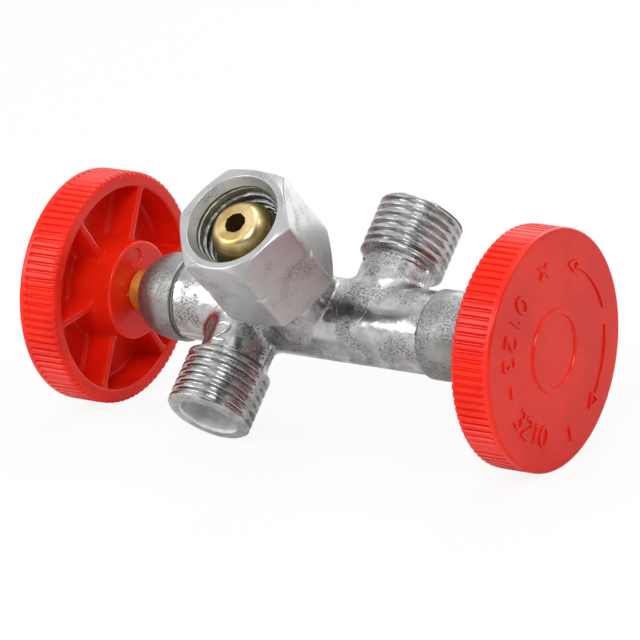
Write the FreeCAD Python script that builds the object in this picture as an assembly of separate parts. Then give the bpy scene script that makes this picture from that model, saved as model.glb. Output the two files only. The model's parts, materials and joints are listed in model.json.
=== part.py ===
"""Gas branch valve: one union nut inlet, two shut-off valves, two threaded outlets.

The valve is drawn about its own axes: the barrel lies along X, the union nut points along -Y,
the right outlet along +Z and the left outlet along -Z.  The left half is the right half turned
180 degrees about the nut's axis.  At the end everything is laid down as it rests on a table,
on the rims of both handwheels and on the mouth of the left outlet, with +Z up.
"""
import FreeCAD, Part
import math
import os

V = FreeCAD.Vector
ORIGIN = V(0, 0, 0)
X_AXIS = V(1, 0, 0)
Y_AXIS = V(0, 1, 0)
Z_AXIS = V(0, 0, 1)

# Pipe thread of both outlets and of the nut, G 1/4 left hand
THREAD_MAJOR_D = 13.157
THREAD_MINOR_D = 11.445

# Cast body
BARREL_D = 12.5
BARREL_HALF = 22.1
BOSS_D = 12.1
BOSS_REACH = 11.4
OUTLET_OFFSET = 10.9
OUTLET_REACH = 19.4
OUTLET_THREAD_LENGTH = 8.9
OUTLET_MOUTH_CHAMFER = 0.5
OUTLET_BORE_D = 8.9
OUTLET_BORE_DEPTH = 7.4
OUTLET_CONE_ANGLE = 30.0
OUTLET_PASSAGE_D = 4.2
NECK_TOP_D = 10.5
NECK_ROOT_D = 11.3
WEB_THICKNESS = 1.5
WEB_INNER_REACH = 6.4
WEB_OUTER_REACH = 5.8
WEB_TOE = 1.2
WEB_SINK = 1.0
WEB_TOP_LAP = 0.6
PAD_D = 5.4
PAD_DEPTH = 0.2
PAD_OFFSET_X = 0.8
PAD_OFFSET_Z = 0.4
FLASH_WIDTH = 0.9
FLASH_HEIGHT = 0.18

# Gas way and seat
CROSS_PASSAGE_D = 3.0
CHAMBER_D = 8.2
CHAMBER_FLOOR_X = 5.9
SEAT_X = 6.8
SEAT_RIM = 0.7

# Headwork
BONNET_COLLAR_D = 13.5
BONNET_END_X = 29.8
BONNET_NOSE_D = 9.0
BONNET_SHANK_D = 9.8
BONNET_INNER_X = 15.0
BONNET_EASE = 0.35
GASKET_THICKNESS = 0.3
GASKET_WIDTH = 1.2
SPINDLE_D = 7.0
SPINDLE_NECK_D = 6.4
SPINDLE_NECK_START_X = 28.2
SPINDLE_NECK_EASE = 0.4
SPINDLE_PITCH = 1.0
OPENING_TURNS = 2.5
SHOULDER_EXTRA = 0.35
SHOULDER_LENGTH = 1.0
ORING_SECTION = 1.3
ORING_INNER_X = 22.5
ORING_SPACING = 4.0
SPINDLE_SQUARE = 4.6
SPINDLE_SQUARE_LENGTH = 6.2
SPINDLE_TIP_D = 2.8
SPINDLE_TIP_LENGTH = 1.6
PLUG_D = 6.2
PLUG_LENGTH = 3.6
WASHER_D = 5.0
WASHER_THICKNESS = 1.3
WASHER_PROUD = 0.3

# Handwheel
WHEEL_D = 36.0
WHEEL_FACE_X = 42.2
WHEEL_WIDTH = 6.6
WHEEL_FACE_WALL = 1.6
WHEEL_RIM_WALL = 1.9
WHEEL_EDGE = 0.6
WHEEL_EDGE_DROP = 0.2
FLUTE_COUNT = 90
FLUTE_DEPTH = 0.35
FLUTE_FLOOR = 0.05
FLUTE_TOP_SHARE = 0.4
FLUTE_BACK_BAND = 0.6
FLUTE_FRONT_BAND = 0.9
RIB_COUNT = 6
RIB_THICKNESS = 1.2
RIB_BELOW_RIM = 0.2
RIB_TURN = -22.5
HUB_D = 15.2
HUB_FACE_X = 32.8
HUB_EDGE = 0.5
HUB_MARK_D = 2.8
HUB_MARK_DEPTH = 0.3
HUB_MARK_RADIUS = 5.3
HUB_MARK_ANGLE = 132.0
BEAD_D = 12.6
BEAD_WIDTH = 0.75
BEAD_HEIGHT = 0.3
BEAD_EASE = 0.2

# Union nut and nipple
NUT_ACROSS_FLATS = 17.0
NUT_REAR_Y = 11.7
NUT_LENGTH = 16.3
NUT_FLOOR = 3.0
NUT_FACE_D = 16.6
NUT_CHAMFER_ANGLE = 30.0
NUT_MOUTH_D = 14.7
NUT_MOUTH_DEPTH = 1.5
NUT_LEAD_ANGLE = 30.0
NUT_RELIEF_LENGTH = 1.6
NUT_GROOVE_WIDTH = 1.5
NUT_GROOVE_DEPTH = 0.75
RING_D = 10.6
RING_THICKNESS = 0.9
NIPPLE_SHANK_D = 6.6
NIPPLE_BORE_D = 3.3
NIPPLE_BALL_D = 10.1
NIPPLE_TIP_Y = 27.0
NIPPLE_TIP_D = 6.6
NIPPLE_BAND = 1.0
NIPPLE_SOCKET_DEPTH = 5.2
NIPPLE_SEAL_THICKNESS = 0.6

# Clearances, and how far a cutting shape runs past the surface it cuts
RUNNING_CLEARANCE = 0.05
LOOSE_CLEARANCE = 0.25
OVERRUN = 1.0

# Values that follow from the ones above
THREAD_R = THREAD_MAJOR_D / 2
BARREL_R = BARREL_D / 2
WHEEL_R = WHEEL_D / 2
RIM_OUTER_R = WHEEL_R - FLUTE_DEPTH
RIM_OPEN_R = RIM_OUTER_R - WHEEL_RIM_WALL
RIM_MIDDLE_R = (RIM_OUTER_R + RIM_OPEN_R) / 2
RIM_BACK_X = WHEEL_FACE_X - WHEEL_WIDTH
FACE_FLOOR_X = WHEEL_FACE_X - WHEEL_FACE_WALL
FACE_MIDDLE_X = WHEEL_FACE_X - WHEEL_FACE_WALL / 2
SPINDLE_R = SPINDLE_D / 2
SPINDLE_BORE_R = SPINDLE_R + RUNNING_CLEARANCE
STEM_END_X = HUB_FACE_X - RUNNING_CLEARANCE
LIFT = SPINDLE_PITCH * OPENING_TURNS
SHOULDER_FACE_X = BONNET_INNER_X - LIFT - RUNNING_CLEARANCE
PLUG_FACE_X = SEAT_X + WASHER_PROUD
WASHER_BACK_X = SEAT_X + WASHER_THICKNESS
PLUG_BACK_X = PLUG_FACE_X + PLUG_LENGTH
OUTLET_THREAD_START = OUTLET_REACH - OUTLET_THREAD_LENGTH
NUT_CORNER_R = NUT_ACROSS_FLATS / math.sqrt(3)
NUT_FLOOR_Y = NUT_REAR_Y + NUT_FLOOR
NUT_FACE_Y = NUT_REAR_Y + NUT_LENGTH
NIPPLE_BALL_Y = NIPPLE_TIP_Y - math.sqrt(NIPPLE_BALL_D ** 2 - NIPPLE_TIP_D ** 2) / 2
NIPPLE_SHOULDER_Y = NIPPLE_BALL_Y - NIPPLE_BAND
RING_BACK_Y = NUT_FLOOR_Y + RUNNING_CLEARANCE
NUT_TRAVEL = NIPPLE_SHOULDER_Y - RING_BACK_Y - RING_THICKNESS


def revolve_x(points):
    """Solid turned about the X axis from (x, r) points."""
    wire = Part.makePolygon([V(x, r, 0) for x, r in points + points[:1]])
    return Part.Face(wire).revolve(ORIGIN, X_AXIS, 360)


def revolve_edges_x(edges):
    """Solid turned about the X axis from ready edges in the XY plane."""
    return Part.Face(Part.Wire(edges)).revolve(ORIGIN, X_AXIS, 360)


def lines(points):
    """Straight edges that join (x, r) points one after the other."""
    ends = [V(x, r, 0) for x, r in points]
    return [Part.LineSegment(start, end).toShape() for start, end in zip(ends, ends[1:])]


def ball_arc(centre_x, ball_r, end_r):
    """Outline of a ball on the X axis, from its widest circle to the circle of radius end_r."""
    end_angle = math.acos(end_r / ball_r)
    stations = [V(centre_x + ball_r * math.sin(angle), ball_r * math.cos(angle), 0)
                for angle in (0, end_angle / 2, end_angle)]
    return Part.Arc(*stations).toShape()


def rod_x(x0, x1, diameter):
    """Plain cylinder on the X axis."""
    return Part.makeCylinder(diameter / 2, x1 - x0, V(x0, 0, 0), X_AXIS)


def square_x(x0, x1, side):
    """Square bar on the X axis."""
    return Part.makeBox(x1 - x0, side, side, V(x0, -side / 2, -side / 2))


def rod_y(y0, y1, diameter):
    """Plain cylinder on the nut's axis, y given as the distance towards the nut's mouth."""
    return Part.makeCylinder(diameter / 2, y1 - y0, V(0, -y0, 0), -Y_AXIS)


def turned_to_nut(shape):
    """Turn a shape drawn along +X so that it points along the nut's axis."""
    return shape.rotated(ORIGIN, Z_AXIS, -90)


def turned_to_outlet(shape):
    """Turn a shape drawn along +X so that it points up the right outlet."""
    upright = shape.rotated(ORIGIN, Y_AXIS, -90)
    return upright.translated(V(OUTLET_OFFSET, 0, 0))


def other_side(shape):
    """The same piece on the left half."""
    return shape.rotated(ORIGIN, Y_AXIS, 180)


def both_sides(shape):
    """A shape and its copy on the left half."""
    return [shape, other_side(shape)]


def outlet_stub():
    """Neck and threaded end of an outlet, drawn along +X from the barrel's axis."""
    mouth_r = THREAD_R - OUTLET_MOUTH_CHAMFER
    neck_end = OUTLET_THREAD_START - (THREAD_R - NECK_TOP_D / 2)
    return revolve_x([(0, 0), (0, NECK_ROOT_D / 2), (neck_end, NECK_TOP_D / 2),
                      (OUTLET_THREAD_START, THREAD_R),
                      (OUTLET_REACH - OUTLET_MOUTH_CHAMFER, THREAD_R),
                      (OUTLET_REACH, mouth_r), (OUTLET_REACH, 0)])


def outlet_hollow():
    """Seat bore, cone and passage of an outlet, drawn along +X."""
    bore_end = OUTLET_REACH - OUTLET_BORE_DEPTH
    drop = (OUTLET_BORE_D - OUTLET_PASSAGE_D) / 2
    cone_end = bore_end - drop * math.tan(math.radians(OUTLET_CONE_ANGLE))
    over = OUTLET_REACH + OVERRUN
    return revolve_x([(0, 0), (0, OUTLET_PASSAGE_D / 2), (cone_end, OUTLET_PASSAGE_D / 2),
                      (bore_end, OUTLET_BORE_D / 2), (over, OUTLET_BORE_D / 2), (over, 0)])


def neck_web():
    """Thin rib on the parting plane at both sides of the right neck."""
    inner = OUTLET_OFFSET - WEB_INNER_REACH
    outer = OUTLET_OFFSET + WEB_OUTER_REACH
    top = OUTLET_THREAD_START + WEB_TOP_LAP
    foot = BARREL_R - WEB_SINK
    knee = foot + 2 * WEB_TOE
    outline = [(inner - WEB_TOE, foot), (inner, knee), (inner, top), (outer, top),
               (outer, knee), (outer + WEB_TOE, foot)]
    points = [V(x, -WEB_THICKNESS / 2, z) for x, z in outline + outline[:1]]
    return Part.Face(Part.makePolygon(points)).extrude(V(0, WEB_THICKNESS, 0))


def parting_flash():
    """Low flat ridge along the barrel where the two mould halves met."""
    reach = BARREL_R + FLASH_HEIGHT
    corner = V(-BARREL_HALF, -FLASH_WIDTH / 2, -reach)
    return Part.makeBox(2 * BARREL_HALF, FLASH_WIDTH, 2 * reach, corner)


def ejector_mark():
    """Flat that the mould's ejector left in the barrel's front, right half."""
    start = V(OUTLET_OFFSET - PAD_OFFSET_X, PAD_DEPTH - BARREL_R, -PAD_OFFSET_Z)
    return Part.makeCylinder(PAD_D / 2, BARREL_R, start, -Y_AXIS)


def chamber():
    """Hollow behind the right seat: an annular floor round the seat, then the headwork's bore."""
    seat_r = CROSS_PASSAGE_D / 2 + SEAT_RIM
    over = BARREL_HALF + OVERRUN
    return revolve_x([(CHAMBER_FLOOR_X, seat_r), (CHAMBER_FLOOR_X, CHAMBER_D / 2),
                      (BONNET_INNER_X, CHAMBER_D / 2), (BONNET_INNER_X, BONNET_SHANK_D / 2),
                      (over, BONNET_SHANK_D / 2), (over, 0), (SEAT_X, 0), (SEAT_X, seat_r)])


def valve_body():
    """Cast body: barrel, inlet boss, two necks with threaded ends, and the gas ways."""
    barrel = rod_x(-BARREL_HALF, BARREL_HALF, BARREL_D).rotated(ORIGIN, X_AXIS, -90)
    stubs = both_sides(turned_to_outlet(outlet_stub()))
    details = [rod_y(0, BOSS_REACH, BOSS_D), parting_flash()] + both_sides(neck_web())
    cast = barrel.fuse(stubs).removeSplitter().fuse(details)
    socket_end = BOSS_REACH - NIPPLE_SOCKET_DEPTH
    ways = [rod_y(socket_end, BOSS_REACH + OVERRUN, NIPPLE_SHANK_D),
            rod_y(0, socket_end + OVERRUN, NIPPLE_BORE_D)]
    ways += both_sides(turned_to_outlet(outlet_hollow())) + both_sides(chamber())
    ways.append(rod_x(-SEAT_X - OVERRUN, SEAT_X + OVERRUN, CROSS_PASSAGE_D))
    for way in both_sides(ejector_mark()) + ways:
        cast = cast.cut(way)
    return cast


def bonnet():
    """Headwork screwed into the barrel's end: shank inside, collar with a ball dome outside."""
    collar_x = BARREL_HALF + GASKET_THICKNESS
    collar_r = BONNET_COLLAR_D / 2
    shank_r = BONNET_SHANK_D / 2
    nose_r = BONNET_NOSE_D / 2
    dome_x = BONNET_END_X - math.sqrt(collar_r ** 2 - nose_r ** 2)
    inner = [(BONNET_END_X, nose_r), (BONNET_END_X, SPINDLE_BORE_R), (BONNET_INNER_X, SPINDLE_BORE_R),
             (BONNET_INNER_X, shank_r), (collar_x, shank_r), (collar_x, BARREL_R - BONNET_EASE),
             (collar_x + BONNET_EASE, collar_r), (dome_x, collar_r)]
    return revolve_edges_x([ball_arc(dome_x, collar_r, nose_r)] + lines(inner))


def bonnet_gasket():
    """Flat gasket between the barrel's end and the collar."""
    ring = rod_x(BARREL_HALF, BARREL_HALF + GASKET_THICKNESS, BONNET_SHANK_D + 2 * GASKET_WIDTH)
    return ring.cut(rod_x(BARREL_HALF - OVERRUN, BARREL_HALF + OVERRUN, BONNET_SHANK_D))


def oring_space(x, outer_r):
    """Room of one o-ring about the spindle, from the groove's bottom out to outer_r."""
    half = ORING_SECTION / 2
    depth_r = SPINDLE_R - ORING_SECTION
    return revolve_x([(x - half, depth_r), (x + half, depth_r), (x + half, outer_r),
                      (x - half, outer_r)])


def spindle():
    """Spindle: tip in the plug, stop shoulder, sealed stem, neck, and square for the handwheel."""
    shoulder_r = SPINDLE_R + SHOULDER_EXTRA
    neck_r = SPINDLE_NECK_D / 2
    body = revolve_x([(PLUG_BACK_X - SPINDLE_TIP_LENGTH, 0),
                      (PLUG_BACK_X - SPINDLE_TIP_LENGTH, SPINDLE_TIP_D / 2),
                      (PLUG_BACK_X, SPINDLE_TIP_D / 2), (PLUG_BACK_X, SPINDLE_R),
                      (SHOULDER_FACE_X - SHOULDER_LENGTH, SPINDLE_R),
                      (SHOULDER_FACE_X - SHOULDER_LENGTH, shoulder_r),
                      (SHOULDER_FACE_X, shoulder_r), (SHOULDER_FACE_X, SPINDLE_R),
                      (SPINDLE_NECK_START_X, SPINDLE_R), (SPINDLE_NECK_START_X, neck_r),
                      (STEM_END_X - SPINDLE_NECK_EASE, neck_r),
                      (STEM_END_X, neck_r - SPINDLE_NECK_EASE), (STEM_END_X, 0)])
    square = square_x(STEM_END_X, STEM_END_X + SPINDLE_SQUARE_LENGTH, SPINDLE_SQUARE)
    grooves = [oring_space(x, SPINDLE_R + OVERRUN) for x in oring_stations()]
    return body.cut(grooves).fuse(square)


def oring_stations():
    """Middles of the two o-ring grooves along the spindle."""
    return [ORING_INNER_X, ORING_INNER_X + ORING_SPACING]


def spindle_oring(x):
    """One o-ring, squeezed to its groove's section as it is in use."""
    return oring_space(x, SPINDLE_R)


def valve_plug():
    """Plug on the spindle's tip, with a cup for the seat washer."""
    plug = rod_x(PLUG_FACE_X, PLUG_BACK_X, PLUG_D)
    hole_start = PLUG_BACK_X - SPINDLE_TIP_LENGTH - RUNNING_CLEARANCE
    hole = rod_x(hole_start, PLUG_BACK_X + OVERRUN, SPINDLE_TIP_D + 2 * RUNNING_CLEARANCE)
    return plug.cut([seat_washer(), hole])


def seat_washer():
    """Rubber disc that closes on the seat."""
    return rod_x(SEAT_X, WASHER_BACK_X, WASHER_D)


def fluted_band():
    """Ring of straight flutes round the rim, between the two plain bands."""
    step = 2 * math.pi / FLUTE_COUNT
    half_top = step * FLUTE_TOP_SHARE / 2
    start = RIM_BACK_X + FLUTE_BACK_BAND
    end = WHEEL_FACE_X - FLUTE_FRONT_BAND
    points = []
    for i in range(FLUTE_COUNT):
        for turn, r in ((-half_top, WHEEL_R), (half_top, WHEEL_R),
                        (step / 2, RIM_OUTER_R + FLUTE_FLOOR)):
            angle = i * step + turn
            points.append(V(start, r * math.cos(angle), r * math.sin(angle)))
    outline = Part.Face(Part.makePolygon(points + points[:1]))
    prism = outline.extrude(V(end - start, 0, 0))
    return prism.cut(rod_x(RIM_BACK_X, WHEEL_FACE_X, 2 * RIM_MIDDLE_R))


def wheel_shell():
    """Face disc and rim of the handwheel, with eased edges."""
    edge_r = RIM_OUTER_R - WHEEL_EDGE_DROP
    return revolve_x([(WHEEL_FACE_X, 0), (WHEEL_FACE_X, RIM_OUTER_R - WHEEL_EDGE),
                      (WHEEL_FACE_X - WHEEL_EDGE_DROP, RIM_OUTER_R),
                      (RIM_BACK_X + WHEEL_EDGE_DROP, RIM_OUTER_R), (RIM_BACK_X, edge_r),
                      (RIM_BACK_X, RIM_OPEN_R), (FACE_FLOOR_X, RIM_OPEN_R), (FACE_FLOOR_X, 0)])


def wheel_ribs():
    """Six ribs from hub to rim, turned as the photo shows them with the valve closed."""
    start = RIM_BACK_X + RIB_BELOW_RIM
    corner = V(start, -RIB_THICKNESS / 2, 0)
    rib = Part.makeBox(FACE_MIDDLE_X - start, RIB_THICKNESS, RIM_MIDDLE_R, corner)
    return [rib.rotated(ORIGIN, X_AXIS, RIB_TURN + i * 360 / RIB_COUNT) for i in range(RIB_COUNT)]


def wheel_hub():
    """Round hub that stands out of the wheel's back, with an eased edge."""
    r = HUB_D / 2
    return revolve_x([(HUB_FACE_X, 0), (HUB_FACE_X, r - HUB_EDGE), (HUB_FACE_X + HUB_EDGE, r),
                      (FACE_MIDDLE_X, r), (FACE_MIDDLE_X, 0)])


def wheel_bead():
    """Raised round bead on the outer face."""
    outer = BEAD_D / 2
    inner = outer - BEAD_WIDTH
    top = WHEEL_FACE_X + BEAD_HEIGHT
    return revolve_x([(FACE_MIDDLE_X, outer), (WHEEL_FACE_X, outer), (top, outer - BEAD_EASE),
                      (top, inner + BEAD_EASE), (WHEEL_FACE_X, inner), (FACE_MIDDLE_X, inner)])


def handwheel():
    """Moulded handwheel: fluted rim, face disc, hub, ribs and the hub's socket."""
    wheel = wheel_shell().fuse([fluted_band(), wheel_bead(), wheel_hub()] + wheel_ribs())
    socket = square_x(HUB_FACE_X - OVERRUN, STEM_END_X + SPINDLE_SQUARE_LENGTH, SPINDLE_SQUARE)
    mark_start = V(HUB_FACE_X, 0, HUB_MARK_RADIUS)
    mark = Part.makeCylinder(HUB_MARK_D / 2, HUB_MARK_DEPTH, mark_start, X_AXIS)
    mark.rotate(ORIGIN, X_AXIS, HUB_MARK_ANGLE)
    return wheel.cut([socket, mark]).removeSplitter()


def chamfer_envelope():
    """Turned blank that gives the nut its 30 degree corner chamfers, drawn along +X."""
    face_r = NUT_FACE_D / 2
    outer_r = NUT_CORNER_R + OVERRUN
    run = (outer_r - face_r) * math.tan(math.radians(NUT_CHAMFER_ANGLE))
    return revolve_x([(NUT_REAR_Y, 0), (NUT_REAR_Y, face_r), (NUT_REAR_Y + run, outer_r),
                      (NUT_FACE_Y - run, outer_r), (NUT_FACE_Y, face_r), (NUT_FACE_Y, 0)])


def nut_hollow():
    """Inside of the nut: shank hole, undercut, thread bore at its minor size, lead-in and mouth."""
    hole_r = NIPPLE_SHANK_D / 2 + LOOSE_CLEARANCE
    minor_r = THREAD_MINOR_D / 2
    relief_end = NUT_FLOOR_Y + NUT_RELIEF_LENGTH
    mouth_end = NUT_FACE_Y - NUT_MOUTH_DEPTH
    thread_end = mouth_end - (THREAD_R - minor_r) * math.tan(math.radians(NUT_LEAD_ANGLE))
    start = NUT_REAR_Y - OVERRUN
    end = NUT_FACE_Y + OVERRUN
    return revolve_x([(start, 0), (start, hole_r), (NUT_FLOOR_Y, hole_r), (NUT_FLOOR_Y, THREAD_R),
                      (relief_end, THREAD_R), (relief_end, minor_r),
                      (thread_end, minor_r), (mouth_end, THREAD_R), (NUT_FACE_Y, NUT_MOUTH_D / 2),
                      (end, NUT_MOUTH_D / 2), (end, 0)])


def nut_groove():
    """Notch round the corners at mid length, the mark of a left-hand thread."""
    middle = (NUT_REAR_Y + NUT_FACE_Y) / 2
    half = NUT_GROOVE_WIDTH / 2 * (NUT_GROOVE_DEPTH + OVERRUN) / NUT_GROOVE_DEPTH
    outer_r = NUT_CORNER_R + OVERRUN
    return revolve_x([(middle, NUT_CORNER_R - NUT_GROOVE_DEPTH), (middle + half, outer_r),
                      (middle - half, outer_r)])


def union_nut():
    """Hexagon union nut with its left-hand notch and two flats upright."""
    points = []
    for i in range(7):
        angle = math.radians(60 * i + 30)
        points.append(V(NUT_REAR_Y, NUT_CORNER_R * math.sin(angle), NUT_CORNER_R * math.cos(angle)))
    hexagon = Part.Face(Part.makePolygon(points)).extrude(V(NUT_LENGTH, 0, 0))
    nut = hexagon.common(chamfer_envelope()).cut([nut_hollow(), nut_groove()])
    return turned_to_nut(nut)


def thrust_ring():
    """Slip ring on the nut's floor, which meets the nipple's shoulder."""
    front = RING_BACK_Y + RING_THICKNESS
    ring = rod_x(RING_BACK_Y, front, RING_D)
    hole_d = NIPPLE_SHANK_D + 2 * RUNNING_CLEARANCE
    return turned_to_nut(ring.cut(rod_x(RING_BACK_Y - OVERRUN, front + OVERRUN, hole_d)))


def inlet_nipple():
    """Ball-nosed nipple pressed into the boss, with the gas bore through it."""
    ball_r = NIPPLE_BALL_D / 2
    tip_r = NIPPLE_TIP_D / 2
    shank_r = NIPPLE_SHANK_D / 2
    bore_r = NIPPLE_BORE_D / 2
    start = BOSS_REACH - NIPPLE_SOCKET_DEPTH + NIPPLE_SEAL_THICKNESS
    rest = [(NIPPLE_TIP_Y, tip_r), (NIPPLE_TIP_Y, bore_r), (start, bore_r), (start, shank_r),
            (NIPPLE_SHOULDER_Y, shank_r), (NIPPLE_SHOULDER_Y, ball_r), (NIPPLE_BALL_Y, ball_r)]
    return turned_to_nut(revolve_edges_x([ball_arc(NIPPLE_BALL_Y, ball_r, tip_r)] + lines(rest)))


def nipple_seal():
    """Flat seal under the nipple's inner end."""
    start = BOSS_REACH - NIPPLE_SOCKET_DEPTH
    ring = rod_y(start, start + NIPPLE_SEAL_THICKNESS, NIPPLE_SHANK_D)
    return ring.cut(rod_y(start - OVERRUN, start + OVERRUN, NIPPLE_BORE_D))


def upright_pieces():
    """Every piece about the valve's own axes."""
    pieces = {"valve_body": valve_body(), "inlet_nipple": inlet_nipple(),
              "nipple_seal": nipple_seal(), "nut_thrust_ring": thrust_ring(),
              "union_nut": union_nut()}
    inner_x, outer_x = oring_stations()
    side = {"bonnet": bonnet(), "bonnet_gasket": bonnet_gasket(), "spindle": spindle(),
            "spindle_oring_inner": spindle_oring(inner_x),
            "spindle_oring_outer": spindle_oring(outer_x),
            "valve_plug": valve_plug(), "seat_washer": seat_washer(), "handwheel": handwheel()}
    for name, shape in side.items():
        pieces[name + "_right"] = shape
        pieces[name + "_left"] = other_side(shape)
    return pieces


def resting_angle():
    """Lean of the left outlet from straight down when its mouth and both rims touch the table."""
    mouth_r = THREAD_R - OUTLET_MOUTH_CHAMFER
    reach = math.hypot(OUTLET_REACH, mouth_r)
    return math.degrees(math.atan2(mouth_r, OUTLET_REACH) + math.acos(WHEEL_R / reach))


def laid_down(pieces):
    """Lay the valve on the table and put the origin under the middle of its box."""
    leaned = {name: shape.rotated(ORIGIN, X_AXIS, -resting_angle()) for name, shape in pieces.items()}
    box = Part.makeCompound(list(leaned.values())).optimalBoundingBox(False, False)
    shift = V(-box.Center.x, -box.Center.y, -box.ZMin)
    return {name: shape.translated(shift) for name, shape in leaned.items()}, shift


def main():
    os.makedirs("parts", exist_ok=True)
    pieces, shift = laid_down(upright_pieces())
    for name, shape in pieces.items():
        shape.exportStep("parts/" + name + ".step")
    print("lean %.3f deg, shift %.3f %.3f %.3f mm" % (resting_angle(), shift.x, shift.y, shift.z))


if __name__ == "__main__":
    main()
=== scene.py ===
"""Looks of the gas branch valve: casting, threads, union nut, headwork and handwheels.

Every shape is worked out in millimetres about the valve's own axes: the barrel along X, the union
nut towards -Y, the right outlet towards +Z, and the left half turned 180 degrees about Y.  The
frame's joints say where those axes lie in the row.
"""
import json
import logging
import math
from dataclasses import dataclass
from enum import Enum
from functools import cached_property
from typing import Callable, Sequence

import bmesh
import bpy
import numpy as np
from mathutils import Matrix, Vector


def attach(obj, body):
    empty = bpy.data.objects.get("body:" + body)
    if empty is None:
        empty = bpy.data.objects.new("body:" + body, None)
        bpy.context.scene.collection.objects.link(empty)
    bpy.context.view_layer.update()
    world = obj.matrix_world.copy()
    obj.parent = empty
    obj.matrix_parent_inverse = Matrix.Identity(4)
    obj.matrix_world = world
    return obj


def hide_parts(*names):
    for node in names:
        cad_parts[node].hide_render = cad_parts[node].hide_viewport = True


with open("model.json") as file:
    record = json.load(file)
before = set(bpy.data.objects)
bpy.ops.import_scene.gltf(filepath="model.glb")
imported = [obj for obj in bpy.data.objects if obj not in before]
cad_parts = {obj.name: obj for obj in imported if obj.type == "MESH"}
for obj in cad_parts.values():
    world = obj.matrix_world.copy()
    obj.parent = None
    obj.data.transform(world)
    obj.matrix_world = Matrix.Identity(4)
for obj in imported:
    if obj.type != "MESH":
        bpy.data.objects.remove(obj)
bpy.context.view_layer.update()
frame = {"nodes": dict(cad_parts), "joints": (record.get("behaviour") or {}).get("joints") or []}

LOG = logging.getLogger("branch_valve")
MM = 0.001
WELD_M = 2e-7
SLIVER_M = 1e-8
TURN = 2 * math.pi
WHITE = "FFFFFF"
OUTWARDS = np.array([1.0, 0.0, 0.0])
Array = np.ndarray
Tree = bpy.types.NodeTree
Source = bpy.types.Node | bpy.types.NodeSocket
Links = dict[str | int, Source]
Constants = dict[str | int, object]
Point = tuple[float, float]
Corner = tuple[float, float, float]
Shell = tuple[Array, Array]
Field = Callable[..., Array]
Inputs = tuple[Source, Links, Constants]
# A Wave Texture of scale 1 runs through this many radians in one unit of length.
WAVE_RADIANS = 20.0
SOFT = {"interpolation_type": "SMOOTHSTEP"}


class Side(Enum):
    """The two halves of the valve."""

    RIGHT = 1
    LEFT = -1

    @property
    def word(self) -> str:
        """The side's word in node and body names."""
        return self.name.lower()

    def turned(self, shell: Shell) -> Shell:
        """The right half's shell, or the same shell turned 180 degrees about Y for the left."""
        points, faces = shell
        return points * np.array([self.value, 1.0, self.value]), faces


def points_of(*parts: Array | float) -> Array:
    """Points from their coordinates: numbers and arrays that broadcast together."""
    return np.stack(np.broadcast_arrays(*parts), axis=-1)


@dataclass(frozen=True)
class ValveAxes:
    """Where the valve's own axes lie in the row frame, in metres."""

    centre_y: float
    centre_z: float
    cos_lean: float
    sin_lean: float

    @classmethod
    def from_joints(cls, joints: list[dict]) -> "ValveAxes":
        """Read the axes: the handwheel's hinge gives the barrel, the nut's hinge the lean."""
        named = {joint["name"]: joint for joint in joints}
        wheel, nut = named["handwheel_turn_right"]["pos_m"], named["nut_spin"]["axis"]
        return cls(wheel[1], wheel[2], -nut[1], nut[2])

    def to_row(self, points: Array) -> Array:
        """Turn valve points in mm into row points in m: a turn about X, then a shift."""
        x, y, z = points.T * MM
        return points_of(x, self.centre_y + y * self.cos_lean + z * self.sin_lean,
                         self.centre_z - y * self.sin_lean + z * self.cos_lean)


AXES = ValveAxes.from_joints(frame["joints"])


def along_nut(points: Array) -> Array:
    """Points drawn along X, turned to run along the union nut's axis, -Y."""
    x, y, z = np.moveaxis(points, -1, 0)
    return points_of(y, -x, z)


def along_outlet(points: Array, offset: float) -> Array:
    """Points drawn along X, turned to run up the right outlet at the given offset on the barrel."""
    x, y, z = np.moveaxis(points, -1, 0)
    return points_of(offset - z, y, x)


def ring(columns: int) -> Array:
    """Even angles all the way round."""
    return np.linspace(0, TURN, columns, endpoint=False)


def smooth(value: Array, low: float, high: float) -> Array:
    """0 up to low, 1 from high on, and an S-curve between them."""
    share = np.clip((value - low) / (high - low), 0, 1)
    return share ** 2 * (3 - 2 * share)


def unit(vectors: Array) -> Array:
    """The same directions with length 1."""
    return vectors / np.linalg.norm(vectors, axis=1)[:, None]


def run_length(path: Array) -> Array:
    """Distance along a path at each of its points."""
    return np.concatenate([[0.0], np.cumsum(np.linalg.norm(np.diff(path, axis=0), axis=1))])


def helix(axial: Array, angles: Array, pitch: float) -> Array:
    """Left-hand helix for each row and column: 0 on its line, 1 half a pitch beside it."""
    phase = axial[:, None] / pitch + angles[None] / TURN
    return np.abs(phase % 1.0 - 0.5) * 2


def parabola(first: Array, corner: Array, last: Array, steps: int) -> Array:
    """Points from first to last on the parabola that both legs of the corner touch."""
    share = np.linspace(0.0, 1.0, steps + 1)[:, None]
    return (1 - share) ** 2 * first + 2 * share * (1 - share) * corner + share ** 2 * last


def ball_arc(centre: float, radius: float, end_r: float) -> Array:
    """Profile of a ball from its widest ring to the ring of radius end_r."""
    arc = np.linspace(0, math.acos(end_r / radius), 16)
    return points_of(centre + radius * np.sin(arc), radius * np.cos(arc))


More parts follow.
